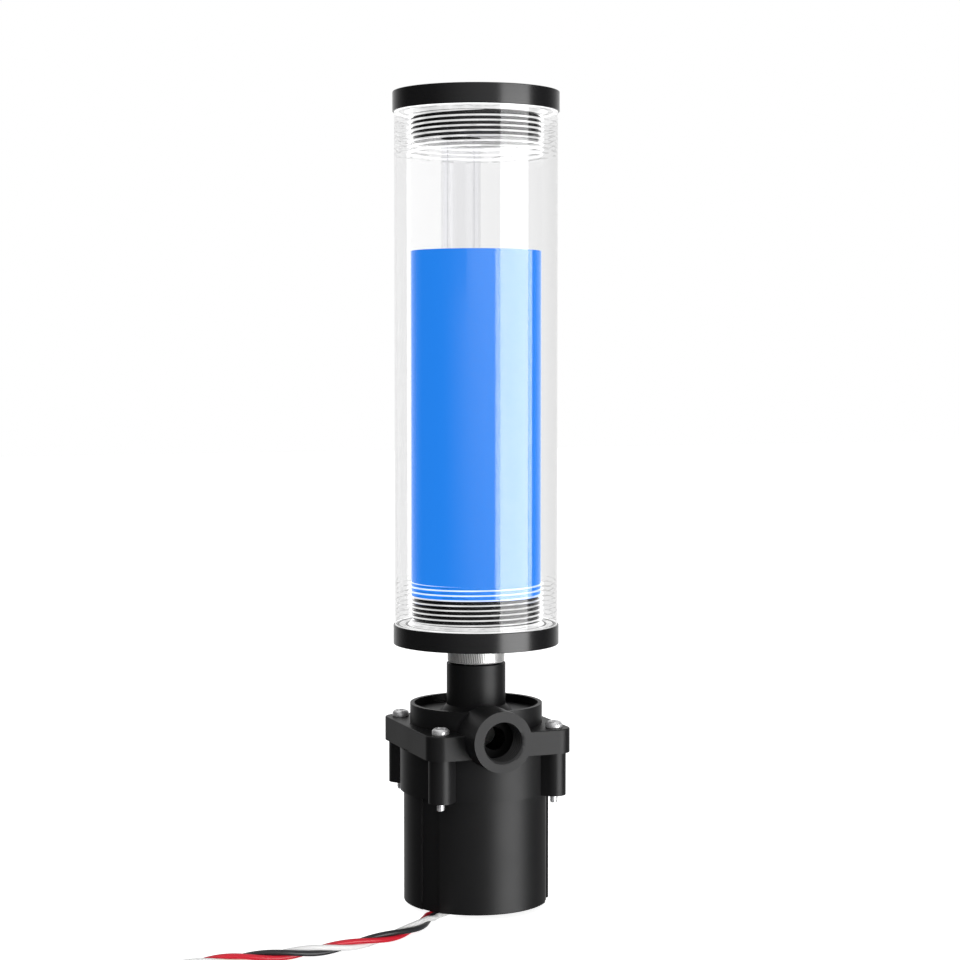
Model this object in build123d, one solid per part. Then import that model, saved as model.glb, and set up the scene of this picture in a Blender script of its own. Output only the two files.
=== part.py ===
"""Coolant pump with a clear tube reservoir screwed on its inlet, as separate pieces.

Millimetres, +Z up. The origin is on the pump's axis, at the pad that it stands on.
The outlet port points along -Y. The pump is built from the pad up, then the
reservoir on top of it, then the three-core lead that lies on the same surface.
"""

from math import cos, hypot, pi, radians, sin, sqrt, tan
import os

from build123d import *

# Clearances between pieces that fit together
slip = 0.1            # a piece that drops into another
running = 0.04        # shaft in its bushing
wet_gap = 0.7         # between the rotor and what it spins in
seal_play = 0.05      # each side of a seal ring in its groove
cut_past = 1.0        # how far a cutting tool runs past the face that it opens

# G1/4 pipe thread, of every port and fitting
port_radius = 13.157 / 2
port_depth = 8.5
port_pitch = 1.337
port_chamfer = 0.5
male_crest = 6.45
male_root = 5.75
male_length = 7.0

# Motor housing: a can open at its foot, with a collar and four screw bosses
pad_height = 1.7      # the pad holds the can's edge clear of the surface, for the lead
pad_radius = 15.0
can_radius = 22.4
can_wall = 2.0
can_height = 34.6
collar_radius = 23.5
collar_height = 13.2
channel_depth = 0.6
channel_angle = 18.0
channel_places = (-59.5, 59.5, 180.0)   # degrees from the outlet
boss_radius = 3.7
screw_place = 18.35   # screws stand on a square, this far from both centre lines
housing_roof = 5.1    # from the housing's top face to the motor space
stator_shoulder = 6.4
shoulder_width = 1.5

# Base plug, driver board and lead entry
plug_plate = 3.0
post_height = 4.3
post_radius = 1.6
post_circle = 15.5
post_count = 3
post_turn = 60.0      # from the lead to the first post
board_thick = 1.6
board_play = 0.6
lead_angle = -56.0    # degrees from the outlet, where the lead leaves
lead_entry = 9.0      # from the axis to where the wires turn down through the plug
wire_radius = 0.8
wire_pitch = 1.7
wire_lift = 0.85
wire_bend = 1.6
tail_end = 23.2
grommet_edge = 0.9
grommet_round = 0.35   # corner radius, as a share of the grommet's thickness
chip_size = (5.0, 4.4, 1.5)
sensor_size = (3.0, 1.5, 1.2)
capacitor_radius = 2.0
capacitor_height = 3.9
part_circle = 11.5

# Stator
stator_length = 18.0
core_play = 0.1
yoke_width = 3.3
tooth_count = 6
tooth_width = 4.2
tooth_tip = 1.1
tooth_span = 48.0
bobbin_wall = 0.6
bobbin_play = 0.05
bobbin_start = 12.9
bobbin_end = 16.7
winding_thick = 1.6
winding_inset = 0.4
winding_round = 1.28

# Separating cup, shaft and rotor
cup_flange = 2.6
cup_flange_radius = 19.0
cup_bore = 10.6
cup_wall = 0.8
cup_floor = 1.4
cup_depth = 36.9
socket_radius = 3.0
socket_height = 4.0
shaft_radius = 1.5
shaft_seat = 1.8
washer_thick = 0.8
washer_radius = 2.5
bushing_wall = 1.06
end_play = 0.1
hub_wall = 1.2
magnet_length = 20.0
magnet_lift = 1.0
impeller_radius = 13.5
disc_thick = 1.2
disc_lift = 1.1
vane_count = 6
vane_thick = 1.1
vane_sweep = 55.0
vane_bow = 0.12       # how far a vane bows out, as a share of its length
vane_margin = 0.2
eye_radius = 6.0

# Pump cover: flange, bowl, neck and outlet boss
flange_side = 46.4
flange_corner = 4.85
flange_thick = 7.4
soft_edge = 0.35
bowl_radius = 20.4
bowl_wall = 1.3
bowl_depth = 2.4
bowl_floor_height = 11.1   # above the cover's joint face
chamber_radius = 15.5
chamber_height = 9.1
neck_radius = 9.1
neck_height = 14.7
skirt_width = 2.0
outlet_radius = 9.15
outlet_offset = -3.35
outlet_reach = 31.5
outlet_height = 6.25       # above the cover's joint face
outlet_depth = 7.5         # of the outlet's port, which stops outside the collar
outlet_bore = 3.5
outlet_end = 13.5
collar_play = 0.2
nose_radius = 2.4
nose_length = 3.0
nose_rise = 0.6        # from the chamber's roof to the nose that holds the shaft
spoke_count = 3
spoke_width = 1.2
cover_seal_circle = 17.3
cover_seal_section = 0.55

# Cover screws, M2.5 with pan heads
screw_radius = 1.25
screw_root = 0.98
screw_pitch = 0.45
screw_length = 23.0
screw_thread_length = 10.8
screw_tip = 0.1
screw_turns = (20, 65, 40, 10)   # how far each screw's slots are turned
screw_play = 0.08
head_radius = 2.6
head_height = 2.0
head_round = 0.9
recess_width = 0.75
recess_length = 3.2
recess_depth = 1.1

# Knurled double-ended fitting between pump and reservoir
knurl_radius = 8.8
knurl_height = 5.1
knurl_count = 60
knurl_depth = 0.25
knurl_share = 0.45     # a notch's width, as a share of the knurl's spacing
knurl_land = 0.5
fitting_gap = 0.5
fitting_bore = 4.5
fitting_seal_circle = 7.35
fitting_seal_section = 0.75

# Reservoir tube and its two caps
tube_radius = 25.0
tube_wall = 5.0
tube_bore = tube_radius - tube_wall
tube_length = 156.6
tube_edge = 0.25
thread_pitch = 1.5
thread_depth = 0.8
thread_length = 13.5       # of the thread inside each end of the tube
cap_thread_length = 7.5    # of the thread on each cap's plug
thread_lead_in = 1.0
cap_overhang = 0.5
cap_radius = tube_radius + cap_overhang
cap_thick = 6.0
cap_edge = 0.4
plug_length = 9.0
cap_seal_inset = 2.3       # from the tube's outside to the middle of its seal
cap_seal_circle = tube_radius - cap_seal_inset
cap_seal_section = 0.65
cap_passage = 5.0
port_wall = 2.25           # between the top cap's two ports and the tube's bore
port_offset = (tube_bore - port_radius - port_wall) / sqrt(2)   # from both centre lines
drop_tube_radius = 6.0
drop_tube_bore = 4.0
drop_tube_length = 90.0
drop_tube_socket = 5.0
coolant_height = 105.4
coolant_play = 0.05

# Fill plug
fill_head_radius = 9.3
fill_head_height = 1.6
fill_slot_width = 1.3
fill_slot_depth = 0.8
fill_slot_length = 14.0
fill_seal_circle = 7.7
fill_seal_section = 0.55

# Lead: three twisted wires, its route on the surface, its coil and its plug
lead_radius = 1.75
lead_route = [
    (-22.4, -18.6), (-28.0, -25.8), (-36.8, -32.2), (-48.8, -37.2), (-62.5, -40.1),
    (-77.5, -40.9), (-92.5, -39.9), (-107.0, -42.9), (-122.0, -44.6), (-138.0, -43.4),
    (-154.0, -42.4),
]
coil_centre = (-179.0, -18.5)
coil_outer = 23.5          # radius of the outermost turn
coil_step = 3.7            # from one turn to the next
coil_turns = 1.75
coil_rise = 0.8            # the lead is lifted this much inside its tie
arc_share = 0.45           # of the shorter run, that an arc of the route takes up
lead_end_radius = 10.5
lead_end_angle = 135.0
tie_width = 3.0
tie_thick = 0.8
tie_angle = 150.0
lead_plug_size = (7.5, 9.6, 5.7)
lead_plug_edge = 0.4
contact_count = 3
contact_pitch = 2.0
contact_side = 1.3
contact_length = 7.0
contact_wall = 0.3
contact_inset = 1.0        # from the plug's face to its contacts

# Heights, from the pad up
can_foot = pad_height
collar_foot = can_foot + can_height
joint_face = collar_foot + collar_height
flange_top = joint_face + flange_thick
bowl_floor = joint_face + bowl_floor_height
bowl_rim = bowl_floor + bowl_depth
neck_top = bowl_floor + neck_height
knurl_foot = neck_top + fitting_gap
knurl_top = knurl_foot + knurl_height
lower_cap_face = knurl_top + fitting_gap
tube_foot = lower_cap_face + cap_thick
tube_top = tube_foot + tube_length
cap_top = tube_top + cap_thick
plate_top = can_foot + plug_plate
board_foot = plate_top + post_height
motor_roof = joint_face - housing_roof
stator_top = motor_roof - stator_shoulder
stator_foot = stator_top - stator_length
cup_foot = joint_face - cup_depth
well_floor = cup_foot + cup_floor
socket_top = well_floor + socket_height
shaft_foot = socket_top - socket_height + shaft_radius
chamber_roof = joint_face + chamber_height
nose_foot = chamber_roof + nose_rise
rotor_foot = socket_top + washer_thick + end_play
rotor_top = nose_foot - washer_thick - end_play
outlet_axis = joint_face + outlet_height

STAND = (Align.CENTER, Align.CENTER, Align.MIN)
screw_places = [(x, y) for x in (-screw_place, screw_place) for y in (-screw_place, screw_place)]


def disc(radius, low, high, x=0.0, y=0.0):
    """Upright cylinder between two heights."""
    return Pos(x, y, low) * Cylinder(radius, high - low, align=STAND)


def ring(outer, inner, low, high, x=0.0, y=0.0):
    """Upright tube between two heights."""
    return disc(outer, low, high, x, y) - disc(inner, low - cut_past, high + cut_past, x, y)


def block(size, x=0.0, y=0.0, low=0.0):
    """Box that stands on a height, centred in plan."""
    return Pos(x, y, low) * Box(*size, align=STAND)


def turned(points):
    """Solid turned about Z from a closed outline of (radius, height) points."""
    outline = Polyline(*[(radius, 0, height) for radius, height in points], close=True)
    return revolve(make_face(outline.edges()), Axis.Z, 360)


def o_ring(circle, section, height):
    """Seal ring, centred at a height."""
    return Pos(0, 0, height) * Torus(circle, section)


def ridges(root, crest, start, pitch, turns):
    """Outline points of a row of thread ridges, going up from a height."""
    points = []
    for turn in range(turns):
        points.append((root, start + turn * pitch))
        points.append((crest, start + (turn + 0.5) * pitch))
    return points + [(root, start + turns * pitch)]


def plan(angle, distance):
    """Point at a distance from the axis, at an angle in degrees from the outlet."""
    return distance * sin(radians(angle)), -distance * cos(radians(angle))


def motor_housing():
    """Can, collar and bosses in one moulding, with the screws' bores."""
    body = disc(can_radius, can_foot, collar_foot) + disc(collar_radius, collar_foot, joint_face)
    for x, y in screw_places:
        web = Pos(x / 2, y / 2, collar_foot) * Rot(0, 0, 45 if x * y > 0 else -45)
        body += web * Box(hypot(x, y), 2 * boss_radius, collar_height, align=STAND)
        body += disc(boss_radius, collar_foot, joint_face, x, y)
    body = body.fillet(soft_edge, body.edges().filter_by(GeomType.CIRCLE).group_by(Axis.Z)[0])
    half = radians(channel_angle / 2)
    for angle in channel_places:
        floor_radius = can_radius - channel_depth
        tool = ring(can_radius + cut_past, floor_radius, can_foot - cut_past, collar_foot)
        reach = 2 * can_radius
        wedge = Polyline((0, 0), (reach * cos(half), reach * sin(half)),
                         (reach * cos(half), -reach * sin(half)), close=True)
        sector = Rot(0, 0, angle - 90) * extrude(make_face(wedge.edges()), collar_foot)
        body -= tool & sector
    body -= disc(can_radius - can_wall, can_foot - cut_past, motor_roof)
    body += ring(can_radius - can_wall, can_radius - can_wall - shoulder_width,
                 stator_top, motor_roof)
    body -= disc(cup_bore + cup_wall + slip, motor_roof - cut_past, joint_face + cut_past)
    body -= disc(cup_flange_radius + slip, joint_face - cup_flange, joint_face + cut_past)
    for x, y in screw_places:
        body -= disc(screw_radius + screw_play, collar_foot - cut_past, joint_face + cut_past, x, y)
    return body


def lead_slot(low, high, clear):
    """Straight slot for the three wires, from where they turn down to past the can."""
    length = can_radius + cut_past - lead_entry
    x, y = plan(lead_angle, lead_entry + length / 2)
    size = (2 * (wire_pitch + wire_radius + clear), length, high - low)
    return Pos(x, y, low) * Rot(0, 0, lead_angle) * Box(*size, align=STAND)


def grommet_block(low, high, edge):
    """Rounded block round the three wires where they pass through the plug."""
    width = 2 * (wire_pitch + wire_radius + edge)
    depth = 2 * (wire_radius + edge)
    profile = RectangleRounded(width, depth, depth * grommet_round)
    x, y = plan(lead_angle, lead_entry)
    return Pos(x, y, low) * Rot(0, 0, lead_angle) * extrude(profile, high - low)


def base_plug():
    """Plug that closes the can, with the pad below and the board's posts above."""
    body = disc(can_radius - can_wall - slip, can_foot, plate_top)
    body += disc(pad_radius, 0, can_foot)
    for place in range(post_count):
        x, y = plan(lead_angle + post_turn + 360 / post_count * place, post_circle)
        body += disc(post_radius, plate_top, board_foot, x, y)
    body -= lead_slot(-cut_past, can_foot, slip)
    return body - grommet_block(-cut_past, plate_top + cut_past, grommet_edge)


def lead_tails():
    """Three wires from the board, down through the plug and out under the can's edge."""
    tails = []
    run = lead_run()
    for side in (-1, 0, 1):
        turn = Rot(0, 0, lead_angle)
        offset = side * wire_pitch
        points = [(offset, -lead_entry, board_foot), (offset, -lead_entry, wire_lift),
                  (offset, -tail_end, wire_lift)]
        path = FilletPolyline(*points, radius=wire_bend)
        section = Plane(origin=points[0], z_dir=(0, 0, -1)) * Circle(wire_radius)
        tails.append(turn * sweep(section, path=path) - run)
    return Compound(children=tails)


def lead_grommet():
    """Soft block in the plug that seals round the wires."""
    body = grommet_block(wire_lift + wire_bend, plate_top, grommet_edge)
    for side in (-1, 0, 1):
        hole = Rot(0, 0, lead_angle) * Pos(side * wire_pitch, -lead_entry, can_foot - cut_past)
        body -= hole * Cylinder(wire_radius, plug_plate + 2 * cut_past, align=STAND)
    return body


def driver_board():
    """Round circuit board on the plug's posts."""
    return disc(can_radius - can_wall - board_play, board_foot, board_foot + board_thick)


def on_board(angle, shape, low):
    """A part of the board, on its circle at an angle from the lead."""
    x, y = plan(lead_angle + angle, part_circle)
    return Pos(x, y, low) * Rot(0, 0, lead_angle + angle) * shape


def driver_chip():
    return on_board(180, Box(*chip_size, align=STAND), board_foot - chip_size[2])


def filter_capacitor():
    return on_board(120, Cylinder(capacitor_radius, capacitor_height, align=STAND),
                    board_foot - capacitor_height)


def hall_sensor():
    return on_board(240, Box(*sensor_size, align=STAND), board_foot + board_thick)


def tooth_frame(number):
    """Place of a stator tooth: X points out along the tooth."""
    return Rot(0, 0, 360 / tooth_count * (number + 0.5))


def stator_core():
    """Laminated core: yoke, teeth and tooth tips."""
    outer = can_radius - can_wall - core_play
    inner = cup_bore + cup_wall + slip
    body = ring(outer, outer - yoke_width, stator_foot, stator_top)
    tips = ring(inner + tooth_tip, inner, stator_foot, stator_top)
    reach = outer - yoke_width / 2 - inner - tooth_tip / 2
    half = radians(tooth_span / 2)
    wedge = Polyline((0, 0), (outer, outer * tan(half)), (outer, -outer * tan(half)), close=True)
    sector = Pos(0, 0, stator_foot) * extrude(make_face(wedge.edges()), stator_length)
    for number in range(tooth_count):
        tooth = Pos(inner + tooth_tip / 2, 0, stator_foot) * Box(
            reach, tooth_width, stator_length, align=(Align.MIN, Align.CENTER, Align.MIN))
        body += tooth_frame(number) * (tooth + (tips & sector))
    return body


def sleeve(start, end, inside, wall):
    """Rectangular sleeve round one tooth, with its room inside and its wall."""
    width = tooth_width + 2 * inside
    height = stator_length + 2 * inside
    middle = (stator_foot + stator_top) / 2
    outer = Box(end - start, width + 2 * wall, height + 2 * wall)
    inner = Box(end - start + 2 * cut_past, width, height)
    return Pos((start + end) / 2, 0, middle) * (outer - inner)


def coil_bobbins():
    shape = sleeve(bobbin_start, bobbin_end, bobbin_play, bobbin_wall)
    return Compound(children=[tooth_frame(n) * shape for n in range(tooth_count)])


def stator_windings():
    room = bobbin_play + bobbin_wall
    shape = sleeve(bobbin_start + winding_inset, bobbin_end - winding_inset, room, winding_thick)
    outer = [edge for edge in shape.edges().filter_by(Axis.X)
             if abs(edge.center().Y) > tooth_width / 2 + room + winding_thick / 2]
    shape = fillet(outer, winding_round)
    return Compound(children=[tooth_frame(n) * shape for n in range(tooth_count)])


def rotor_cup():
    """Thin cup between the coolant and the stator, with the shaft's socket in its floor."""
    body = disc(cup_flange_radius, joint_face - cup_flange, joint_face)
    body += disc(cup_bore + cup_wall, cup_foot, joint_face)
    body -= disc(cup_bore, well_floor, joint_face + cut_past)
    body += disc(socket_radius, well_floor, socket_top)
    return body - disc(shaft_radius, shaft_foot, socket_top + cut_past)


def rotor_shaft():
    """Ceramic shaft, held in the cup's socket and in the nose of the cover."""
    return disc(shaft_radius, shaft_foot, nose_foot + shaft_seat)


def thrust_washers():
    """Two washers, one on the socket and one under the nose."""
    bore = shaft_radius + running
    return Compound(children=[
        ring(washer_radius, bore, socket_top, socket_top + washer_thick),
        ring(washer_radius, bore, nose_foot - washer_thick, nose_foot),
    ])


def rotor_bushing():
    bore = shaft_radius + running
    return ring(bore + bushing_wall, bore, rotor_foot, rotor_top)


def impeller():
    """Hub, back disc and swept vanes in one moulding."""
    inner = shaft_radius + running + bushing_wall
    outer = inner + hub_wall
    disc_foot = joint_face + disc_lift
    vane_top = chamber_roof - wet_gap
    vane_reach = impeller_radius - vane_margin
    body = ring(outer, inner, rotor_foot, rotor_top)
    body += ring(impeller_radius, inner, disc_foot, disc_foot + disc_thick)
    chord = vane_reach - inner
    for number in range(vane_count):
        angle = 360 / vane_count * number
        curve = SagittaArc((inner + hub_wall / 2, 0), (vane_reach * cos(radians(vane_sweep)),
                           vane_reach * sin(radians(vane_sweep))), -chord * vane_bow)
        face = make_face(offset(curve, vane_thick / 2).edges())
        vane = Pos(0, 0, disc_foot + disc_thick / 2) * extrude(
            face, vane_top - disc_foot - disc_thick / 2)
        body += Rot(0, 0, angle) * vane
    body &= ring(impeller_radius, inner, rotor_foot, rotor_top)
    return body


def rotor_magnet():
    """Ring magnet fixed on the impeller's hub, inside the cup."""
    low = rotor_foot + magnet_lift
    inner = shaft_radius + running + bushing_wall + hub_wall
    return ring(cup_bore - wet_gap, inner, low, low + magnet_length)


def housing_seal():
    return o_ring(cover_seal_circle, cover_seal_section, joint_face + cover_seal_section)


def along_y(radius, near, far):
    """Cylinder on the outlet's axis, between two distances from the pump's axis."""
    place = Pos(outlet_offset, -near, outlet_axis) * Rot(90, 0, 0)
    return place * Cylinder(radius, far - near, align=STAND)


def pump_cover():
    """Flange, bowl, inlet neck and outlet boss in one moulding."""
    plate = extrude(RectangleRounded(flange_side, flange_side, flange_corner), flange_thick)
    plate = fillet(plate.faces().sort_by(Axis.Z)[-1].edges(), soft_edge)
    body = Pos(0, 0, joint_face) * plate
    body += disc(bowl_radius, joint_face, bowl_rim)
    body += along_y(outlet_radius, 0, outlet_reach)
    body -= disc(collar_radius + collar_play, 0, joint_face)
    body -= disc(bowl_radius - bowl_wall, bowl_floor, neck_top)
    body += disc(neck_radius, joint_face, neck_top)
    skirt = Cone(neck_radius + skirt_width, neck_radius, skirt_width, align=STAND)
    body += Pos(0, 0, bowl_floor) * skirt
    body -= disc(chamber_radius, joint_face - cut_past, chamber_roof)
    body -= disc(eye_radius, joint_face, neck_top)
    body -= disc(port_radius, neck_top - port_depth, neck_top + cut_past)
    body -= along_y(outlet_bore, outlet_end, outlet_reach)
    body -= along_y(port_radius, outlet_reach - outlet_depth, outlet_reach + cut_past)
    mouth = Cone(port_radius + port_chamfer, port_radius, port_chamfer, align=STAND)
    body -= Pos(outlet_offset, -outlet_reach, outlet_axis) * Rot(-90, 0, 0) * mouth
    body += disc(nose_radius, nose_foot, nose_foot + nose_length)
    for spoke in range(spoke_count):
        arm = Pos(shaft_radius, 0, nose_foot) * Box(
            eye_radius, spoke_width, nose_length, align=(Align.MIN, Align.CENTER, Align.MIN))
        body += Rot(0, 0, 360 / spoke_count * spoke + 90) * arm
    body -= disc(shaft_radius, nose_foot - cut_past, nose_foot + shaft_seat)
    groove = cover_seal_section + seal_play
    body -= ring(cover_seal_circle + groove, cover_seal_circle - groove,
                 joint_face - cut_past, joint_face + 2 * cover_seal_section)
    for x, y in screw_places:
        body -= disc(screw_radius + screw_play, joint_face - cut_past, flange_top + cut_past, x, y)
    return body


def cover_screws():
    """Four pan-head screws. Their threaded ends stand out below the bosses."""
    tip = flange_top - screw_length
    outline = [(0, tip)]
    count = round(screw_thread_length / screw_pitch)
    outline += ridges(screw_root, screw_radius, tip + screw_tip, screw_pitch, count)
    outline += [(screw_radius, outline[-1][1]), (screw_radius, flange_top), (0, flange_top)]
    head = Pos(0, 0, flange_top) * Cylinder(head_radius, head_height, align=STAND)
    head = fillet(head.edges().sort_by(Axis.Z)[-1], head_round)
    slot = Pos(0, 0, flange_top + head_height - recess_depth) * Box(
        recess_length, recess_width, 2 * recess_depth, align=STAND)
    screw = turned(outline) + head - slot - Rot(0, 0, 90) * slot
    return Compound(children=[
        Pos(x, y, 0) * Rot(0, 0, turn) * screw for (x, y), turn in zip(screw_places, screw_turns)])


def joint_fitting():
    """Knurled ring with a G1/4 male thread on both sides and a bore right through."""
    pieces = []
    for face, way in ((knurl_foot, -1), (knurl_top, 1)):
        count = int(male_length / port_pitch)
        start = (male_length - count * port_pitch) / 2
        outline = [(fitting_bore, 0), (male_root, 0)]
        outline += ridges(male_root, male_crest, start, port_pitch, count)
        outline += [(male_root, male_length), (fitting_bore, male_length)]
        half = turned(outline)
        pieces.append(Pos(0, 0, face) * (half if way > 0 else Rot(180, 0, 0) * half))
    body = ring(knurl_radius, fitting_bore, knurl_foot, knurl_top)
    width = 2 * pi * knurl_radius / knurl_count * knurl_share
    cut = Rot(0, 0, 45) * Box(width, width, knurl_height - 2 * knurl_land, align=STAND)
    place = Pos(knurl_radius + (width - knurl_depth) / 2, 0, knurl_foot + knurl_land)
    notches = [Rot(0, 0, 360 / knurl_count * n) * place * cut for n in range(knurl_count)]
    body = body - notches
    groove = fitting_seal_section + seal_play
    room = 2 * fitting_seal_section - fitting_gap
    for low, high in ((knurl_foot - cut_past, knurl_foot + room),
                      (knurl_top - room, knurl_top + cut_past)):
        body -= ring(fitting_seal_circle + groove, fitting_seal_circle - groove, low, high)
    return body + pieces[0] + pieces[1]


def fitting_seals():
    """Two seal rings, under and over the knurled ring."""
    return Compound(children=[
        o_ring(fitting_seal_circle, fitting_seal_section, neck_top + fitting_seal_section),
        o_ring(fitting_seal_circle, fitting_seal_section, lower_cap_face - fitting_seal_section),
    ])


def cap_blank():
    """Cap with its threaded plug upwards. Its face against the tube is at height 0."""
    crest = tube_bore - slip
    root = crest - thread_depth
    count = round(cap_thread_length / thread_pitch)
    start = plug_length - thread_lead_in - count * thread_pitch
    outline = [(0, -cap_thick), (cap_radius - cap_edge, -cap_thick),
               (cap_radius, cap_edge - cap_thick), (cap_radius, -cap_edge),
               (cap_radius - cap_edge, 0), (root, 0), (root, start)]
    outline += ridges(root, crest, start, thread_pitch, count)[1:]
    outline += [(root, plug_length), (0, plug_length)]
    groove = cap_seal_section + seal_play
    depth = 2 * cap_seal_section
    return turned(outline) - ring(cap_seal_circle + groove, cap_seal_circle - groove,
                                  -depth, cut_past)


def port_cut(depth_below):
    """Tool for a port that opens downwards at height 0, with its passage above."""
    tool = disc(port_radius, -cut_past, port_depth)
    return tool + disc(depth_below, port_depth - cut_past, cap_thick + plug_length + cut_past)


def lower_cap():
    """Cap on the tube's foot, with the port for the knurled fitting."""
    body = Pos(0, 0, tube_foot) * cap_blank()
    return body - Pos(0, 0, lower_cap_face) * port_cut(cap_passage)


def top_cap():
    """Cap on the tube's top, with the return port and the fill port."""
    body = Pos(0, 0, tube_top) * Rot(180, 0, 0) * cap_blank()
    for side in (-1, 1):
        port = Pos(side * port_offset, side * port_offset, cap_top) * Rot(180, 0, 0)
        body -= port * port_cut(drop_tube_bore)
    plug_end = tube_top - plug_length
    return body - disc(drop_tube_radius, plug_end - cut_past, plug_end + drop_tube_socket,
                       -port_offset, -port_offset)


def lower_cap_seal():
    return o_ring(cap_seal_circle, cap_seal_section, tube_foot - cap_seal_section)


def top_cap_seal():
    return o_ring(cap_seal_circle, cap_seal_section, tube_top + cap_seal_section)


def reservoir_tube():
    """Clear tube, threaded inside at both ends."""
    root = tube_bore + thread_depth
    count = round(thread_length / thread_pitch)
    outline = [(tube_radius, tube_foot + tube_edge), (tube_radius, tube_top - tube_edge),
               (tube_radius - tube_edge, tube_top), (tube_bore + tube_edge, tube_top)]
    for low in (tube_top - count * thread_pitch, tube_foot):
        outline += ridges(tube_bore, root, low, thread_pitch, count)[::-1]
    outline[-1] = (tube_bore + tube_edge, tube_foot)
    return turned(outline + [(tube_radius - tube_edge, tube_foot)])


def drop_tube():
    """Clear tube under the return port, down into the coolant."""
    high = tube_top - plug_length + drop_tube_socket
    return ring(drop_tube_radius, drop_tube_bore, high - drop_tube_length, high,
                -port_offset, -port_offset)


def coolant():
    """The liquid in the tube, up to its surface, round and inside the drop tube."""
    low = tube_foot + plug_length
    body = disc(tube_bore - coolant_play, low, low + coolant_height)
    foot = tube_top - plug_length + drop_tube_socket - drop_tube_length
    return body - ring(drop_tube_radius + coolant_play, drop_tube_bore - coolant_play,
                       foot - coolant_play, low + coolant_height + cut_past,
                       -port_offset, -port_offset)


def fill_plug():
    """Plug of the fill port, turned with a coin."""
    head = disc(fill_head_radius, cap_top, cap_top + fill_head_height)
    head = fillet(head.edges().sort_by(Axis.Z)[-1], soft_edge)
    head -= block((fill_slot_length, fill_slot_width, fill_slot_depth * 2),
                  low=cap_top + fill_head_height - fill_slot_depth)
    groove = fill_seal_section + seal_play
    head -= ring(fill_seal_circle + groove, fill_seal_circle - groove,
                 cap_top - cut_past, cap_top + 2 * fill_seal_section)
    count = int(male_length / port_pitch)
    outline = [(0, cap_top - male_length), (male_root, cap_top - male_length)]
    outline += ridges(male_root, male_crest, cap_top - count * port_pitch, port_pitch, count)
    outline += [(0, cap_top)]
    return Pos(port_offset, port_offset, 0) * (head + turned(outline))


def fill_plug_seal():
    seal = o_ring(fill_seal_circle, fill_seal_section, cap_top + fill_seal_section)
    return Pos(port_offset, port_offset, 0) * seal


def coil_point(turns):
    """Point of the coil's spiral, after so many turns from its outer end."""
    radius = coil_outer - coil_step * turns
    angle = radians(-90 - 360 * turns)
    return coil_centre[0] + radius * cos(angle), coil_centre[1] + radius * sin(angle)


def route_points():
    """The lead's route over the surface, from the can to where its coil begins."""
    return [plan(lead_angle, tail_end)] + lead_route + [coil_point(0)]


def route_radii():
    """Radius of the lead's arc at each corner of its route."""
    points = route_points()
    radii = []
    for before, at, after in zip(points, points[1:], points[2:]):
        runs = [Vector(*at) - Vector(*before), Vector(*after) - Vector(*at)]
        turn = radians(runs[0].get_angle(runs[1]))
        radii.append(arc_share * min(run.length for run in runs) / tan(turn / 2))
    return radii


def route_path():
    """Centre line of the lead, as straight runs joined by arcs."""
    points = [(x, y, lead_radius) for x, y in route_points()]
    return FilletPolyline(*points, radius=route_radii())


def route_tube():
    """Plain tube along the whole route, to where the coil begins."""
    path = route_path()
    start = path.edges()[0]
    section = Plane(origin=start @ 0, z_dir=start % 0) * Circle(lead_radius)
    return sweep(section, path=path)


def lead_run():
    """The stretch of the lead that isn't coiled, up to the side of the coil."""
    inner, outer = coil_edges()
    return route_tube() - disc(outer, -cut_past, 2 * lead_radius + cut_past, *coil_centre)


def tie_frame():
    """Place of the tie on the coil: X points away from the coil's centre."""
    return Pos(*coil_centre, 0) * Rot(0, 0, tie_angle)


def coil_edges():
    """Inner and outer radius of the whole coil."""
    last = coil_outer - coil_step * coil_turns
    return last - lead_radius, coil_outer + lead_radius


def lead_coil():
    """Outer shape of the coil, with the lead's end that turns in to its plug."""
    inner, outer = coil_edges()
    body = ring(outer, inner, 0, 2 * lead_radius + coil_rise, *coil_centre)
    x, y = end_centre()
    path = CenterArc((x, y, lead_radius), lead_end_radius, coil_end_angle(), -lead_end_angle)
    section = Plane(origin=path @ 0, z_dir=path % 0) * Circle(lead_radius)
    body += sweep(section, path=path)
    return body - lead_tie()


def coil_end_angle():
    """Angle in degrees, round the coil's centre, at which its last turn ends."""
    return -90 - 360 * coil_turns


def end_centre():
    """Centre of the arc in which the lead turns in from the coil."""
    inward = coil_outer - coil_step * coil_turns - lead_end_radius
    angle = radians(coil_end_angle())
    return coil_centre[0] + inward * cos(angle), coil_centre[1] + inward * sin(angle)


def lead_end():
    """Where the lead meets its plug, and the direction in degrees that it points there."""
    x, y = end_centre()
    way = coil_end_angle() - lead_end_angle
    place = x + lead_end_radius * cos(radians(way)), y + lead_end_radius * sin(radians(way))
    return place, way - 90


def lead_tie():
    """Flat tie round the turns."""
    inner, outer = coil_edges()
    middle = (inner + outer) / 2
    high = 2 * lead_radius + coil_rise
    loop = Box(outer - inner + 2 * tie_thick, tie_width, high + tie_thick, align=STAND)
    room = Box(outer - inner, 2 * tie_width, high - tie_thick, align=STAND)
    return tie_frame() * Pos(middle, 0, 0) * (loop - Pos(0, 0, tie_thick) * room)


def plug_frame():
    """Place of the plug: the lead enters at its origin and X points into the plug."""
    (x, y), way = lead_end()
    return Pos(x, y, 0) * Rot(0, 0, way)


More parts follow.
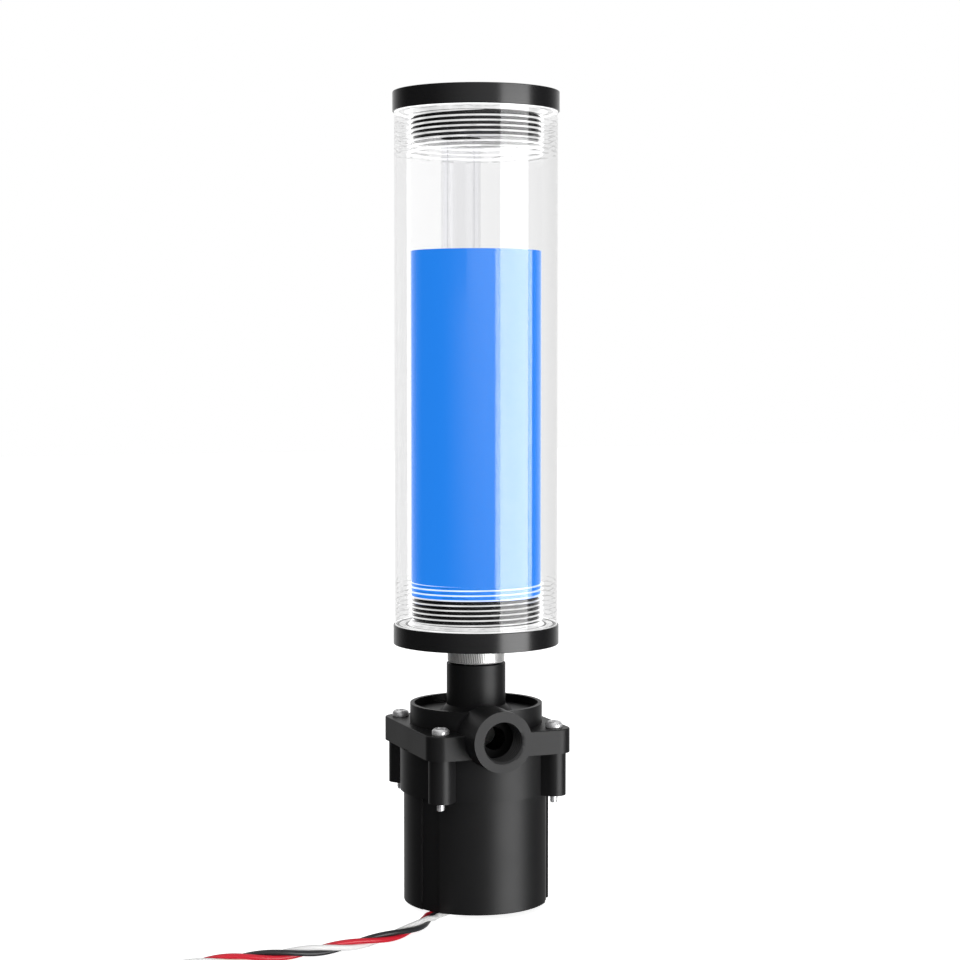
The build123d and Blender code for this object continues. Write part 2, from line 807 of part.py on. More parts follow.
def lead_plug():
    """Plug housing with a cavity for each contact."""
    width, length, height = lead_plug_size
    start = (Align.MIN, Align.CENTER, Align.MIN)
    body = fillet(Box(length, width, height, align=start).edges().filter_by(Axis.X), lead_plug_edge)
    for number in range(contact_count):
        y = (number - (contact_count - 1) / 2) * contact_pitch
        cavity = Box(contact_length + cut_past, contact_side + slip, contact_side + slip,
                     align=(Align.MIN, Align.CENTER, Align.CENTER))
        body -= Pos(length - contact_length, y, height / 2) * cavity
    return plug_frame() * body


def lead_contacts():
    """Socket contacts inside the plug."""
    width, length, height = lead_plug_size
    contacts = []
    for number in range(contact_count):
        y = (number - (contact_count - 1) / 2) * contact_pitch
        bore = contact_side - 2 * contact_wall
        start = (Align.MIN, Align.CENTER, Align.CENTER)
        tube = Box(contact_length - contact_inset, contact_side, contact_side, align=start)
        hole = Pos(contact_side, 0, 0) * Box(contact_length, bore, bore, align=start)
        contacts.append(plug_frame() * Pos(length - contact_length, y, height / 2) * (tube - hole))
    return Compound(children=contacts)


pieces = {
    make.__name__: make
    for make in (
        motor_housing, base_plug, lead_grommet, driver_board, driver_chip, filter_capacitor,
        hall_sensor, stator_core, coil_bobbins, stator_windings, rotor_cup, rotor_shaft,
        thrust_washers, rotor_bushing, impeller, rotor_magnet, housing_seal, pump_cover,
        cover_screws, joint_fitting, fitting_seals, lower_cap, lower_cap_seal, reservoir_tube,
        coolant, top_cap, top_cap_seal, drop_tube, fill_plug, fill_plug_seal, lead_tails,
        lead_run, lead_coil, lead_tie, lead_plug, lead_contacts,
    )
}

os.makedirs("parts", exist_ok=True)
for name, make in pieces.items():
    export_step(make(), f"parts/{name}.step")

run_length = route_path().length
full_section = pi * lead_radius ** 2
turn_length = 2 * pi * (coil_outer - coil_step * coil_turns / 2) * coil_turns
end_length = radians(lead_end_angle) * lead_end_radius
print("lead radii", [round(radius, 1) for radius in route_radii()])
print("lead tube volume over section times length",
      round(route_tube().volume / (full_section * run_length), 4))
print("lead lengths", round(run_length, 1), round(turn_length, 1), round(end_length, 1),
      "total", round(run_length + turn_length + end_length, 1))
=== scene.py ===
"""Coolant pump with a clear tube reservoir, dressed and lit for its picture.

Metres, +Z up. The pump stands on the floor with its outlet towards -Y, and the
reservoir is screwed on top of it.
"""

from math import atan2, cos, exp, hypot, pi, radians, sin, tau

import bmesh
import bpy
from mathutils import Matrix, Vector


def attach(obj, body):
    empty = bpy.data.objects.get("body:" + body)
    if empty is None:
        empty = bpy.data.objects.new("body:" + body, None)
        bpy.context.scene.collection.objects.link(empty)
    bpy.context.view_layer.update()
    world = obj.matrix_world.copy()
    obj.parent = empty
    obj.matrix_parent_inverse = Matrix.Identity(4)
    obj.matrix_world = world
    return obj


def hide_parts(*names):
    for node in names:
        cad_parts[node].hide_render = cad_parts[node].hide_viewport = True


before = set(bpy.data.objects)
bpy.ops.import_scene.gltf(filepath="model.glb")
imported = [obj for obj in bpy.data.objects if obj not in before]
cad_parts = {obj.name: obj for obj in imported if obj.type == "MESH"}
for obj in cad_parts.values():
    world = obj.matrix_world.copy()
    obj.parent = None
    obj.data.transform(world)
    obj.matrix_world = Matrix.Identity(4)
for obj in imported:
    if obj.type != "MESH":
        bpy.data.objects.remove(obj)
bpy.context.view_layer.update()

scene = bpy.context.scene
scene.view_settings.view_transform = "Standard"


# Camera. It stands about two thirds of a metre away, at the height of the tube's
# lower half, and looks slightly down through a long lens.
camera_place = (-0.2378, -0.6229, 0.1703)
camera_turn = 21.0          # degrees from the outlet's axis
camera_tilt = 3.31          # degrees below the horizon
camera_lens = 81.41
camera_sensor = 36.0

bpy.ops.object.camera_add(location=camera_place, rotation=(radians(90 - camera_tilt), 0, radians(-camera_turn)))
camera = bpy.context.object
camera.name = "camera"
camera.data.lens = camera_lens
camera.data.sensor_width = camera_sensor
scene.camera = camera


# Lead. Three stranded copper wires in red, black and white insulation, twisted
# together. They leave flat under the can's edge, and the length that isn't needed
# lies in a coil under a strap, with a three-way plug at its end.
lead_exit = (-0.01923, -0.01297)
lead_route = [
    (-0.0224, -0.0186), (-0.0280, -0.0258), (-0.0368, -0.0322), (-0.0488, -0.0372), (-0.0625, -0.0401),
    (-0.0775, -0.0409), (-0.0925, -0.0399), (-0.1070, -0.0429), (-0.1220, -0.0446), (-0.1380, -0.0434),
    (-0.1540, -0.0424),
]
lead_diameter = 0.0035
lead_height = 0.00175       # of the bundle's centre over the floor
wire_radius = 0.0008
wire_pitch = 0.0017         # where the wires lie flat, side by side
wire_height = 0.00085
wire_lay = 0.0335           # length of one full twist
loose_share = 0.75          # how much slower the wires twist where they leave the pump
loose_length = 0.024
first_turn = -107.0         # degrees, from the side that faces the outlet
flat_length = 0.011         # in which the flat wires become a round bundle
coil_centre = (-0.179, -0.0185)
coil_outer = 0.0235
coil_step = 0.0037
coil_turns = 1.75
coil_points = 24            # control points for each turn
end_radius = 0.0105
end_angle = 135
tie_angle = 150
tie_rise = 0.0008           # the strap under the lead lifts it this much
plug_height = 0.0057
contact_pitch = 0.002


def deselect():
    """Leaves nothing selected, so that the next operator acts on new work alone."""
    if bpy.context.object and bpy.context.object.mode != "OBJECT":
        bpy.ops.object.mode_set(mode="OBJECT")
    bpy.ops.object.select_all(action="DESELECT")


def pick(*pieces):
    """Selects these pieces, with the first one active."""
    deselect()
    for piece in pieces:
        piece.select_set(True)
    bpy.context.view_layer.objects.active = pieces[0]


def on_circle(centre, radius, angle):
    """Point on a level circle, at an angle in degrees."""
    return centre[0] + radius * cos(radians(angle)), centre[1] + radius * sin(radians(angle))


def coil_height(angle):
    """Height of the lead in its coil: it rises over the strap that lies under it."""
    off = (angle - tie_angle + 180) % 360 - 180
    return lead_height + tie_rise * exp(-(off / 14) ** 2)


route = [(*lead_exit, lead_height)] + [(x, y, lead_height) for x, y in lead_route]
for number in range(int(coil_turns * coil_points) + 1):
    turned = number / coil_points
    angle = -90 - 360 * turned
    route.append((*on_circle(coil_centre, coil_outer - coil_step * turned, angle), coil_height(angle)))
last_radius = coil_outer - coil_step * coil_turns
last_angle = -90 - 360 * coil_turns
end_centre = on_circle(coil_centre, last_radius - end_radius, last_angle)
for number in range(1, 10):
    route.append((*on_circle(end_centre, end_radius, last_angle - end_angle * number / 9), lead_height))

route_curve = bpy.data.curves.new("lead_route", "CURVE")
route_curve.dimensions = "3D"
spline = route_curve.splines.new("NURBS")
spline.points.add(len(route) - 1)
for control, place in zip(spline.points, route):
    control.co = (*place, 1)
spline.order_u = 3
spline.use_endpoint_u = True
route_holder = bpy.data.objects.new("lead_route", route_curve)
route_mesh = bpy.data.meshes.new_from_object(route_holder)
route_line = [vertex.co.copy() for vertex in route_mesh.vertices]
bpy.data.objects.remove(route_holder)


def evenly(line, step):
    """Points along a line at even distances, with each one's distance and direction."""
    marks = [0.0]
    for before, after in zip(line, line[1:]):
        marks.append(marks[-1] + (after - before).length)
    count = round(marks[-1] / step)
    found, at = [], 0
    for number in range(count + 1):
        distance = marks[-1] * number / count
        while at < len(line) - 2 and marks[at + 1] < distance:
            at += 1
        run = line[at + 1] - line[at]
        share = (distance - marks[at]) / max(run.length, 1e-9)
        found.append((distance, line[at] + run * share, run.normalized()))
    return found, marks[-1]


def ease(value):
    """Smooth step from 0 to 1."""
    value = min(max(value, 0.0), 1.0)
    return value * value * (3 - 2 * value)


lead_marks, lead_measured = evenly(route_line, 0.001)


def wire_points(turn_share, row):
    """Centre line of one wire: round the lead's own line, and in its own row at both ends."""
    points = []
    twist_radius = wire_radius / sin(pi / 3)
    for distance, place, along in lead_marks:
        side = Vector((-along.y, along.x, 0)).normalized()
        loose = loose_share * loose_length * (1 - exp(-distance / loose_length))
        angle = tau * ((distance - loose) / wire_lay - turn_share) + radians(first_turn)
        twist = side * cos(angle) * twist_radius + Vector((0, 0, sin(angle) * twist_radius))
        flat = side * row * wire_pitch + Vector((0, 0, wire_height - lead_height))
        ending = side * row * contact_pitch + Vector((0, 0, plug_height / 2 - lead_height))
        start = ease(distance / flat_length)
        end = ease((lead_measured - distance) / flat_length)
        points.append(place + (twist * start + flat * (1 - start)) * end + ending * (1 - end))
    return points


def finish(name, colour, roughness, **sockets):
    """Material with one shader. Further plain sockets of the shader are given by name."""
    material = bpy.data.materials.new(name)
    material.use_nodes = True
    shader = material.node_tree.nodes["Principled BSDF"]
    shader.inputs["Base Color"].default_value = (*colour, 1)
    shader.inputs["Roughness"].default_value = roughness
    for socket, value in sockets.items():
        shader.inputs[socket.replace("_", " ")].default_value = value
    return material


def give(tree, node, inputs):
    """Gives a node's inputs numbers, colours or other nodes' outputs."""
    for socket, value in inputs.items():
        if isinstance(value, bpy.types.NodeSocket):
            tree.links.new(value, node.inputs[socket])
        else:
            node.inputs[socket].default_value = value


def add_node(tree, kind, inputs, **settings):
    """Shader node with its settings and inputs."""
    node = tree.nodes.new("ShaderNode" + kind)
    for name, value in settings.items():
        setattr(node, name, value)
    give(tree, node, inputs)
    return node


def maths(tree, operation, *values):
    """Result of a maths node on numbers or other nodes' outputs."""
    return add_node(tree, "Math", dict(enumerate(values)), operation=operation).outputs[0]


def product(tree, *values):
    """Product of two or more values."""
    result = values[0]
    for value in values[1:]:
        result = maths(tree, "MULTIPLY", result, value)
    return result


def noise(tree, place, scale, detail=2):
    """Noise over a surface."""
    return add_node(tree, "TexNoise", {"Vector": place, "Scale": scale, "Detail": detail}).outputs["Fac"]


def object_place(tree):
    """Place on the object."""
    return add_node(tree, "TexCoord", {}).outputs["Object"]


def new_group(name, ins, outs):
    """Node group with its inputs, which hold their usual values, and its outputs."""
    group = bpy.data.node_groups.new(name, "ShaderNodeTree")
    kinds = {1: "NodeSocketFloat", 3: "NodeSocketVector", 4: "NodeSocketColor"}
    for title, value in ins.items():
        kind = kinds[len(value) if isinstance(value, tuple) else 1]
        group.interface.new_socket(name=title, in_out="INPUT", socket_type=kind).default_value = value
    for title, size in outs.items():
        group.interface.new_socket(name=title, in_out="OUTPUT", socket_type=kinds[size])
    return group, group.nodes.new("NodeGroupInput").outputs, group.nodes.new("NodeGroupOutput")


def add_group(material, group, **values):
    """Puts a group between a material's own values and the shader's sockets of the same names."""
    tree = material.node_tree
    wanted = tree.nodes["Principled BSDF"].inputs
    node = add_node(tree, "Group", {}, node_tree=group)
    for socket in node.inputs:
        if socket.name in wanted:
            socket.default_value = wanted[socket.name].default_value
    for socket in node.outputs:
        tree.links.new(socket, wanted[socket.name])
    give(tree, node, {name.replace("_", " "): value for name, value in values.items()})
    return material


def grain_group():
    """Moulded or drawn surface: a fine even grain, and slow changes in its gloss."""
    group, given, result = new_group(
        "moulded_grain",
        {"Scale": 2500.0, "Depth": 0.00001, "Roughness": 0.4, "Spread": 0.06, "Base Color": (0.02, 0.02, 0.02, 1),
         "Tint": 0.15},
        {"Base Color": 4, "Roughness": 1, "Normal": 3})
    place = object_place(group)
    bump = add_node(group, "Bump", {"Height": noise(group, place, given["Scale"], 3), "Distance": given["Depth"]})
    centred = maths(group, "SUBTRACT", noise(group, place, 90, 4), 0.5)
    shade = maths(group, "MULTIPLY_ADD", centred, given["Tint"], 1.0)
    tinted = add_node(group, "VectorMath", {0: given["Base Color"], "Scale": shade}, operation="SCALE")
    gloss = maths(group, "MULTIPLY_ADD", centred, given["Spread"], given["Roughness"])
    give(group, result, {"Base Color": tinted.outputs[0], "Roughness": gloss, "Normal": bump.outputs[0]})
    return group


moulded_grain = grain_group()


def grained(name, colour, roughness, scale, depth=0.00001, spread=0.06, tint=0.15, **sockets):
    """Material with the moulded grain over it."""
    return add_group(finish(name, colour, roughness, **sockets), moulded_grain, Scale=scale, Depth=depth,
                     Spread=spread, Tint=tint)


def dress(piece, *materials):
    """Gives a piece its materials in place of what it has."""
    piece.data.materials.clear()
    for material in materials:
        piece.data.materials.append(material)


def dress_cad(material, *nodes):
    """Gives the solids of CAD nodes one material."""
    for node in nodes:
        dress(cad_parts[node], material)


def settle(piece, body, slot, *nodes):
    """Lets a finished piece ride on a body, in place of CAD nodes."""
    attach(piece, body)
    if nodes:
        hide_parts(*nodes)
    return piece


wire_colours = {"red": (0.62, 0.012, 0.03), "black": (0.02, 0.02, 0.022), "white": (0.86, 0.86, 0.85)}
wires = []
for name, roughness, share, row in ("black", 0.36, 0, 0), ("red", 0.34, 1 / 3, -1), ("white", 0.36, 2 / 3, 1):
    material = grained("wire_" + name, wire_colours[name], roughness, 1800.0, spread=0.1)
    curve = bpy.data.curves.new(material.name, "CURVE")
    curve.dimensions = "3D"
    curve.bevel_depth = wire_radius
    curve.bevel_resolution = 3
    curve.use_fill_caps = True
    line = curve.splines.new("POLY")
    centres = wire_points(share, row)
    line.points.add(len(centres) - 1)
    for control, centre in zip(line.points, centres):
        control.co = (*centre, 1)
    wire = bpy.data.objects.new(material.name, curve)
    scene.collection.objects.link(wire)
    curve.materials.append(material)
    pick(wire)
    bpy.ops.object.convert(target="MESH")
    wires.append(bpy.context.object)
pick(*wires)
bpy.ops.object.join()
lead = bpy.context.object
lead.name = "lead"
bpy.ops.object.shade_smooth()
settle(lead, "root", "wire", "lead_run", "lead_coil")

# The stretch of the wires under the can is still flat, red on the far side and
# white on the near side.
wire_tails = finish("wire_tails", wire_colours["black"], 0.36)
tree = wire_tails.node_tree
turned_place = add_node(tree, "Mapping", {"Vector": object_place(tree), "Rotation": (0, 0, radians(56))})
across = add_node(tree, "SeparateXYZ", {0: turned_place.outputs[0]}).outputs["X"]
share = add_node(tree, "MapRange", {"Value": across, "From Min": -1.5 * wire_pitch, "From Max": 1.5 * wire_pitch})
ramp = add_node(tree, "ValToRGB", {"Fac": share.outputs[0]})
ramp.color_ramp.interpolation = "CONSTANT"
ramp.color_ramp.elements[1].position = 1 / 3
ramp.color_ramp.elements.new(2 / 3)
for stop, colour in zip(ramp.color_ramp.elements, wire_colours.values()):
    stop.color = (*colour, 1)
give(tree, tree.nodes["Principled BSDF"], {"Base Color": ramp.outputs["Color"]})
dress_cad(wire_tails, "lead_tails")


# Lead strap and plug. The strap is a hook-and-loop strip round both turns of the
# coil. The plug is a moulded nylon housing with three crimped contacts in it.
strap_width = 0.003
strap_thick = 0.0008
plug_size = (0.0096, 0.0075, plug_height)
plug_latch = (0.005, 0.0034, 0.0009)
side_channel = (0.0045, 0.0008, plug_height * 2)
contact_hole = (0.0162, 0.0014, 0.0014)
contact_window = (0.0022, 0.0011, 0.002)


def apply_transform():
    """Puts the selected pieces' own transforms into their meshes."""
    bpy.ops.object.transform_apply(location=True, rotation=True, scale=True)


def edit_all():
    """Enters edit mode with everything selected."""
    bpy.ops.object.mode_set(mode="EDIT")
    bpy.ops.mesh.select_all(action="SELECT")


def add_block(name, size, place, turn=0.0):
    """Block of a given size, standing on a point and turned about Z in degrees."""
    deselect()
    middle = (place[0], place[1], place[2] + size[2] / 2)
    bpy.ops.mesh.primitive_cube_add(size=1, location=middle, rotation=(0, 0, radians(turn)))
    piece = bpy.context.object
    piece.name = name
    piece.scale = size
    apply_transform()
    return piece


def soften(piece, width, segments=2):
    """Rounds a piece's sharp edges and smooths its shading."""
    pick(piece)
    bevel = piece.modifiers.new("edges", "BEVEL")
    bevel.width = width
    bevel.segments = segments
    bevel.limit_method = "ANGLE"
    bevel.angle_limit = radians(30)
    bevel.use_clamp_overlap = True
    bpy.ops.object.modifier_apply(modifier=bevel.name)
    bpy.ops.object.shade_smooth_by_angle(angle=radians(30))
    return piece


def even_shading(piece, angle=30):
    """Smooth shading that keeps large faces flat where they meet a narrow rounded edge."""
    pick(piece)
    bpy.ops.object.shade_smooth_by_angle(angle=radians(angle))
    weigh = piece.modifiers.new("normals", "WEIGHTED_NORMAL")
    weigh.keep_sharp = True
    bpy.ops.object.modifier_apply(modifier=weigh.name)
    return piece


def combine(piece, other, operation):
    """Boolean of two pieces. The second one is used up."""
    pick(piece)
    boolean = piece.modifiers.new("cut", "BOOLEAN")
    boolean.operation = operation
    boolean.solver = "EXACT"
    boolean.object = other
    bpy.ops.object.modifier_apply(modifier=boolean.name)
    bpy.data.objects.remove(other)


def cut(piece, tool):
    """Takes a tool's shape out of a piece."""
    combine(piece, tool, "DIFFERENCE")


def weld(piece, other):
    """Makes one piece of two."""
    combine(piece, other, "UNION")


inner_edge = last_radius - lead_diameter / 2
outer_edge = coil_outer + lead_diameter / 2
strap_middle = on_circle(coil_centre, (inner_edge + outer_edge) / 2, tie_angle)
strap_reach = outer_edge - inner_edge
strap_high = lead_diameter + tie_rise
strap = add_block("lead_strap", (strap_reach + 2 * strap_thick, strap_width, strap_high + strap_thick),
                  (*strap_middle, 0), tie_angle)
soften(strap, 0.0018, 5)
hollow = add_block("hollow", (strap_reach, 3 * strap_width, strap_high - strap_thick),
                   (*strap_middle, strap_thick), tie_angle)
soften(hollow, 0.0012, 5)
cut(strap, hollow)
bpy.ops.object.shade_smooth_by_angle(angle=radians(35))
dress(strap, grained("strap_cloth", (0.03, 0.03, 0.032), 0.85, 3200.0, depth=0.0002, tint=0.8, Sheen_Weight=0.3))
settle(strap, "root", "tie", "lead_tie")

plug_turn = 135
plug_back = Vector((*on_circle(end_centre, end_radius, last_angle - end_angle), 0))
plug_way = Vector((cos(radians(plug_turn)), sin(radians(plug_turn)), 0))
plug_side = Vector((-plug_way.y, plug_way.x, 0))


def plug_block(size, along, aside, height):
    """Block in line with the plug, placed from where the lead enters it."""
    place = plug_back + plug_way * along + plug_side * aside + Vector((0, 0, height))
    return add_block("block", size, place, plug_turn)


plug = plug_block(plug_size, plug_size[0] / 2, 0, 0)
plug.name = "lead_plug_housing"
soften(plug, 0.00035, 3)
for way in (-1, 1):
    cut(plug, plug_block(side_channel, 0.0068, way * 0.0031, -0.001))
for number in range(3):
    aside = (number - 1) * contact_pitch
    cut(plug, plug_block(contact_hole, plug_size[0] / 2, aside, (plug_height - contact_hole[2]) / 2))
    cut(plug, plug_block(contact_window, 0.004, aside, plug_height - 0.001))
weld(plug, plug_block(plug_latch, 0.0062, 0, plug_height - plug_latch[2]))
bpy.ops.object.shade_smooth_by_angle(angle=radians(30))
dress(plug, grained("plug_nylon", (0.022, 0.022, 0.022), 0.42, 3500.0))
settle(plug, "root", "plug_plastic", "lead_plug")

dress_cad(grained("contact_tin", (0.72, 0.68, 0.58), 0.3, 5000.0, tint=0.1, Metallic=1.0), "lead_contacts")


# Room. A white floor and backdrop with a dark camera side, a tall softbox to the
# right of the camera, and a weaker lamp on its left. The floor takes the object's
# shadow, and is left out of reflections and of what is seen through the tube.
floor_reach = 3.0
floor_white = 0.8
floor_glow = 0.90           # what the camera sees of the floor before the lamps add to it
backdrop_way = (0.358, 0.934, 0.0)   # level direction in which the camera looks
front_way = (-0.017, -1.0, 0.0)      # where the dim light of the camera's side is strongest
front_light = 0.66
room_dark = 0.02
box_edge = 160.0            # how sharply the softbox ends at both sides
box_outside = (33, 79, -0.50, 0.16, 5.9)     # its angles, sines of its lowest and highest angle, radiance
box_inside = (34, 118, -0.47, 0.12, 3.2)     # the same, for what is inside the tube
lamp_turn = radians(-35 - camera_turn)       # to the camera's left
lamp_rise = radians(25)
lamp_distance = 1.1
lamp_height = 0.12          # of what it points at
lamp_side = 0.8
lamp_radiance = 1.6

bpy.ops.mesh.primitive_plane_add(size=floor_reach * 2, location=(0, 0, 0))
floor = bpy.context.object
floor.name = "floor"
apply_transform()
floor_paint = bpy.data.materials.new("floor_paint")
floor_paint.use_nodes = True
tree = floor_paint.node_tree
tree.nodes.remove(tree.nodes["Principled BSDF"])
seen = add_node(tree, "LightPath", {}).outputs["Is Camera Ray"]
matt = add_node(tree, "BsdfDiffuse", {"Color": (floor_white, floor_white, floor_white, 1)})
glow = add_node(tree, "Emission", {"Strength": product(tree, seen, floor_glow)})
both = add_node(tree, "AddShader", {0: matt.outputs[0], 1: glow.outputs[0]})
give(tree, tree.nodes["Material Output"], {"Surface": both.outputs[0]})
floor.data.materials.append(floor_paint)
floor.visible_glossy = False
floor.visible_transmission = False
floor.visible_shadow = False

world = bpy.data.worlds.new("room")
world.use_nodes = True
scene.world = world
tree = world.node_tree
place = add_node(tree, "TexCoord", {}).outputs["Generated"]
height = add_node(tree, "SeparateXYZ", {0: place}).outputs["Z"]


def highest(*values):
    """Greatest of some values of the room's light."""
    result = values[0]
    for value in values[1:]:
        result = maths(tree, "MAXIMUM", result, value)
    return result


def facing(way, power, strength):
    """Light that grows towards one direction of the room."""
    dot = add_node(tree, "VectorMath", {0: place, 1: way}, operation="DOT_PRODUCT").outputs["Value"]
    return product(tree, maths(tree, "POWER", highest(dot, 0.0), power), strength)


rise = highest(maths(tree, "ADD", product(tree, height, 2.6), 0.72), 0.0)
before = product(tree, facing(front_way, 2.0, front_light), maths(tree, "MINIMUM", rise, 1.0))
room = highest(facing(backdrop_way, 3.5, 1.0), before, facing((0, 0, 1), 3.0, 1.1), room_dark)
path = add_node(tree, "LightPath", {}).outputs
bounces = maths(tree, "ADD", path["Diffuse Depth"], path["Glossy Depth"])
direct = highest(path["Is Camera Ray"], maths(tree, "SUBTRACT", path["Is Transmission Ray"], bounces))
indirect = maths(tree, "SUBTRACT", 1.0, direct)


def upright_light(first, last, bottom, top, radiance):
    """Softbox far away in the room, between two angles right of the camera and two heights."""
    strength = radiance
    for turn, side in (first, 90), (last, -90):
        around = radians(-camera_turn + turn + side)
        strength = maths(tree, "MINIMUM", facing((sin(around), -cos(around), 0), 1.0, box_edge), strength)
    return product(tree, strength, maths(tree, "GREATER_THAN", height, bottom), maths(tree, "LESS_THAN", height, top))


# The softbox is part of the room, because a lamp would be seen straight through the
# tube from the other side. What is inside the tube mirrors a wider and dimmer one.
mirrored = product(tree, maths(tree, "MINIMUM", bounces, 1.0), path["Is Transmission Ray"])
inside = product(tree, upright_light(*box_inside), mirrored)
box = product(tree, upright_light(*box_outside), maths(tree, "SUBTRACT", 1.0, mirrored))
room = maths(tree, "ADD", product(tree, highest(room, box, inside), indirect), direct)
give(tree, tree.nodes["Background"], {"Strength": room, "Color": (1, 1, 1, 1)})

lamp_way = Vector((sin(lamp_turn) * cos(lamp_rise), -cos(lamp_turn) * cos(lamp_rise), sin(lamp_rise)))
deselect()
bpy.ops.object.light_add(type="AREA", location=Vector((0, 0, lamp_height)) + lamp_way * lamp_distance)
lamp = bpy.context.object
lamp.name = "fill_left"
lamp.rotation_euler = (-lamp_way).to_track_quat("-Z", "Y").to_euler()
lamp.data.size = lamp_side
lamp.data.energy = lamp_radiance * pi * lamp_side ** 2
lamp.visible_glossy = False
lamp.visible_transmission = False


# Motor housing. A glass-filled plastic can with a thicker collar and four screw
# bosses, moulded in one piece, with three shallow upright channels in its side.
moulded_edge = 0.00025


def copy_of(name, node):
    """Clean shell from a CAD node's solid, for edges to be rounded on it."""
    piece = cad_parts[node].copy()
    piece.data = piece.data.copy()
    for key in list(piece.keys()):
        del piece[key]
    piece.parent = None
    scene.collection.objects.link(piece)
    pick(piece)
    piece.name = name
    edit_all()
    bpy.ops.mesh.remove_doubles(threshold=0.000002)
    bpy.ops.mesh.dissolve_limited(angle_limit=radians(0.4))
    bpy.ops.object.mode_set(mode="OBJECT")
    if piece.data.has_custom_normals:
        bpy.ops.mesh.customdata_custom_splitnormals_clear()
    return piece


pump_plastic = grained("pump_plastic", (0.0088, 0.0088, 0.0093), 0.42, 2600.0, depth=0.000006, spread=0.08,
                       Specular_IOR_Level=0.30)
housing = even_shading(soften(copy_of("motor_can", "motor_housing"), moulded_edge))
dress(housing, pump_plastic)
settle(housing, "root", "pump_plastic", "motor_housing")
dress_cad(pump_plastic, "base_plug")


# Driver. A round glass-fibre board under the stator, with its chip and capacitor
# below and the sensor for the rotor's place above. The wires pass a soft grommet.
def band_group():
    """Bands of two colours along one value, such as a stack of sheets or a layer of wire."""
    group, given, result = new_group(
        "bands", {"Value": 0.0, "Pitch": 0.0005, "Depth": 0.00005, "Base Color": (0.5, 0.5, 0.5, 1),
                  "Gap": (0.1, 0.1, 0.1, 1)}, {"Base Color": 4, "Normal": 3})
    turn = product(group, maths(group, "DIVIDE", given["Value"], given["Pitch"]), tau)
    half = product(group, maths(group, "ADD", maths(group, "SINE", turn), 1.0), 0.5)
    ridge = maths(group, "POWER", half, 0.4)
    mix = group.nodes.new("ShaderNodeMix")
    mix.data_type = "RGBA"
    give(group, mix, {"Factor": ridge, "A": given["Gap"], "B": given["Base Color"]})
    bump = add_node(group, "Bump", {"Height": ridge, "Distance": given["Depth"]})
    give(group, result, {"Base Color": mix.outputs["Result"], "Normal": bump.outputs[0]})
    return group


bands = band_group()


def off_axis(tree, split):
    """Distance from the Z axis of a place that was split into its parts."""
    squares = [product(tree, split[axis], split[axis]) for axis in "XY"]
    return maths(tree, "SQRT", maths(tree, "ADD", *squares))


def banded(name, colour, roughness, along, pitch, depth, gap, **sockets):
    """Metal with bands over it, along Z or out from the axis."""
    material = finish(name, colour, roughness, Metallic=1.0, **sockets)
    tree = material.node_tree
    split = add_node(tree, "SeparateXYZ", {0: object_place(tree)}).outputs
    value = split["Z"] if along == "height" else off_axis(tree, split)
    return add_group(material, bands, Value=value, Pitch=pitch, Depth=depth, Gap=(*gap, 1))


board_green = finish("board_green", (0.01, 0.11, 0.05), 0.35, Coat_Weight=0.4)
tree = board_green.node_tree
tracks = add_node(tree, "TexBrick", {
    "Vector": object_place(tree), "Scale": 260, "Mortar Size": 0.05, "Color1": (0.01, 0.11, 0.05, 1),
    "Color2": (0.012, 0.13, 0.055, 1), "Mortar": (0.05, 0.24, 0.10, 1)})
give(tree, tree.nodes["Principled BSDF"], {"Base Color": tracks.outputs["Color"]})
dress_cad(board_green, "driver_board")
dress_cad(grained("chip_epoxy", (0.03, 0.03, 0.032), 0.5, 9000.0), "driver_chip", "hall_sensor")
dress_cad(grained("can_metal", (0.75, 0.75, 0.77), 0.28, 7000.0, tint=0.1, Metallic=1.0), "filter_capacitor")
seal_rubber = grained("seal_rubber", (0.012, 0.012, 0.012), 0.55, 4000.0)
dress_cad(seal_rubber, "lead_grommet")


# Stator. A stack of electrical sheet with six teeth, a nylon bobbin on each tooth,
# and enamelled copper wire wound on the bobbins.
dress_cad(banded("sheet_steel", (0.36, 0.36, 0.38), 0.38, "height", 0.0005, 0.00005, (0.12, 0.12, 0.13)),
          "stator_core")
dress_cad(grained("bobbin_nylon", (0.78, 0.76, 0.68), 0.45, 3000.0), "coil_bobbins")
dress_cad(banded("copper_wire", (0.72, 0.27, 0.11), 0.25, "radius", 0.0004, 0.0001, (0.25, 0.07, 0.03),
                 Coat_Weight=0.6), "stator_windings")


# Rotor and its wet well. A thin moulded cup keeps the coolant out of the motor. A
# fixed ceramic shaft stands in it, on which impeller, magnet and bushing turn.
dress_cad(grained("well_plastic", (0.035, 0.03, 0.027), 0.4, 3000.0), "rotor_cup")
dress_cad(grained("impeller_plastic", (0.70, 0.70, 0.68), 0.38, 3000.0), "impeller")
dress_cad(grained("magnet_ferrite", (0.055, 0.053, 0.055), 0.55, 6000.0, tint=0.5), "rotor_magnet")
dress_cad(grained("bushing_carbon", (0.03, 0.03, 0.03), 0.35, 6000.0, tint=0.4), "rotor_bushing")
dress_cad(grained("white_ceramic", (0.86, 0.85, 0.80), 0.16, 5000.0, tint=0.05), "rotor_shaft", "thrust_washers")
dress_cad(seal_rubber, "housing_seal")


# Pump cover. The square flange, the bowl with its rim, the inlet neck and the
# outlet boss are one moulding, of the same plastic as the can. The outlet has a
# G1/4 thread, cut into its bore.
mm = 0.001
port_crest = 6.5785         # millimetres, as are all turned outlines from here on
port_root = 5.9
port_pitch = 1.337
outlet_place = (-3.35, 55.75)
outlet_thread = (24.1, 31.49)


